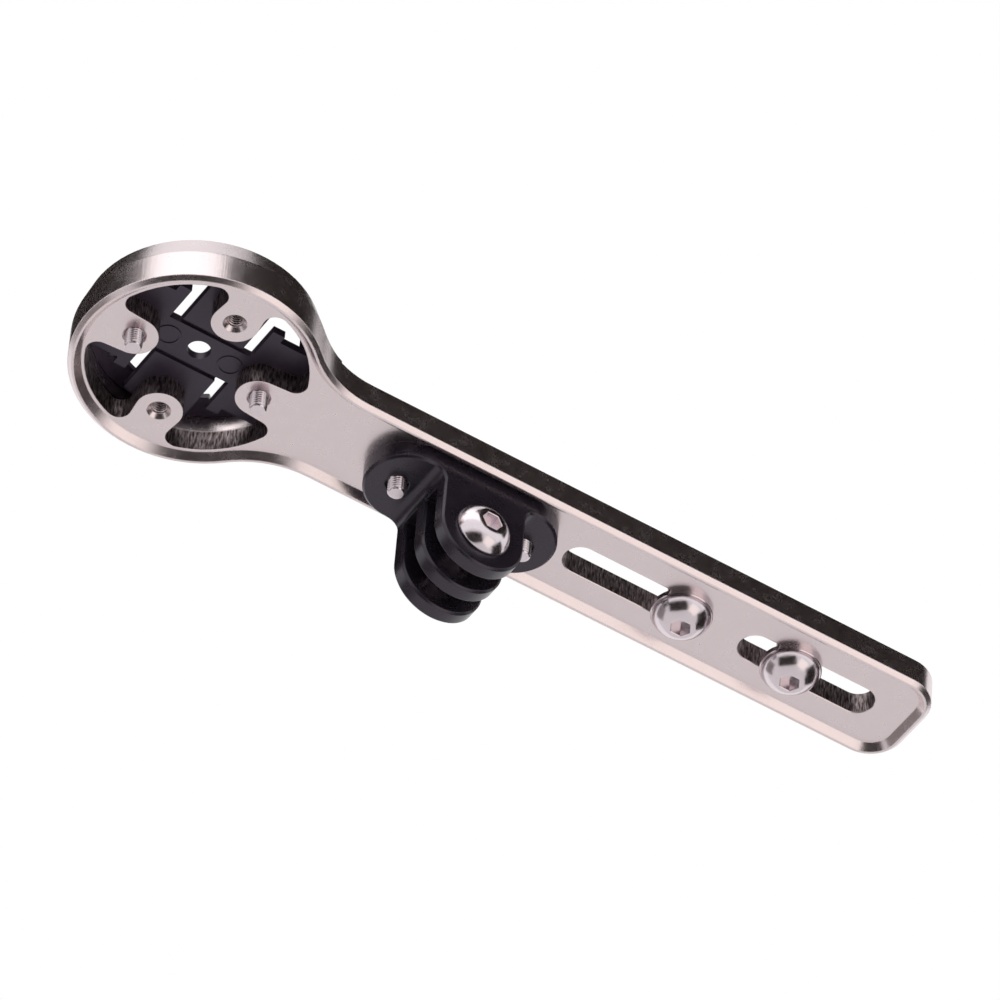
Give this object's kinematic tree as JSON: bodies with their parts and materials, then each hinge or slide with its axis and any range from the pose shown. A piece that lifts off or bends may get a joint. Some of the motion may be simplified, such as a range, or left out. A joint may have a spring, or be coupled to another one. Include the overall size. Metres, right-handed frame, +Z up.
{
  "type": "bike computer mount",
  "caption": "Flat arm with a ring head holding a quarter-turn socket for a bike computer, a lugged camera bracket below, and two long slots for handlebar bolts.",
  "frame": {"origin": "on the ring head's axis, in the plane of the arm's recessed underside floor", "axes": "+X along the arm from the ring head to the handlebar end, +Z up in use, towards the bike computer, +Y completes the right-handed set"},
  "size_m": [0.1546, 0.0404, 0.0313],
  "materials": {
    "machined_aluminium": "satin",
    "black_nylon": "matte",
    "black_anodised_aluminium": "satin",
    "stainless_steel": "polished"
  },
  "bodies": {
    "mount": {"mount_arm": "machined_aluminium", "quarter_turn_insert": "black_nylon", "insert_screw_front": "stainless_steel", "insert_screw_rear": "stainless_steel", "camera_bracket": "black_anodised_aluminium", "bracket_screw_front": "stainless_steel", "bracket_screw_rear": "stainless_steel"},
    "front_bolt": {"handlebar_bolt_front": "stainless_steel", "handlebar_washer_front": "stainless_steel"},
    "rear_bolt": {"handlebar_bolt_rear": "stainless_steel", "handlebar_washer_rear": "stainless_steel"},
    "pivot": {"pivot_bolt": "stainless_steel"}
  },
  "joints": [
    {"name": "front_bolt_slide", "type": "slide", "parent": "mount", "child": "front_bolt", "axis": [1, 0, 0], "range_m": [-0.019, 0]},
    {"name": "rear_bolt_slide", "type": "slide", "parent": "mount", "child": "rear_bolt", "axis": [1, 0, 0], "range_m": [-0.0065, 0.0125]},
    {"name": "pivot_bolt_turn", "type": "hinge", "parent": "mount", "child": "pivot", "pos_m": [0.0493, 0, -0.0128], "axis": [0, 1, 0], "range_deg": [-180, 180]}
  ]
}
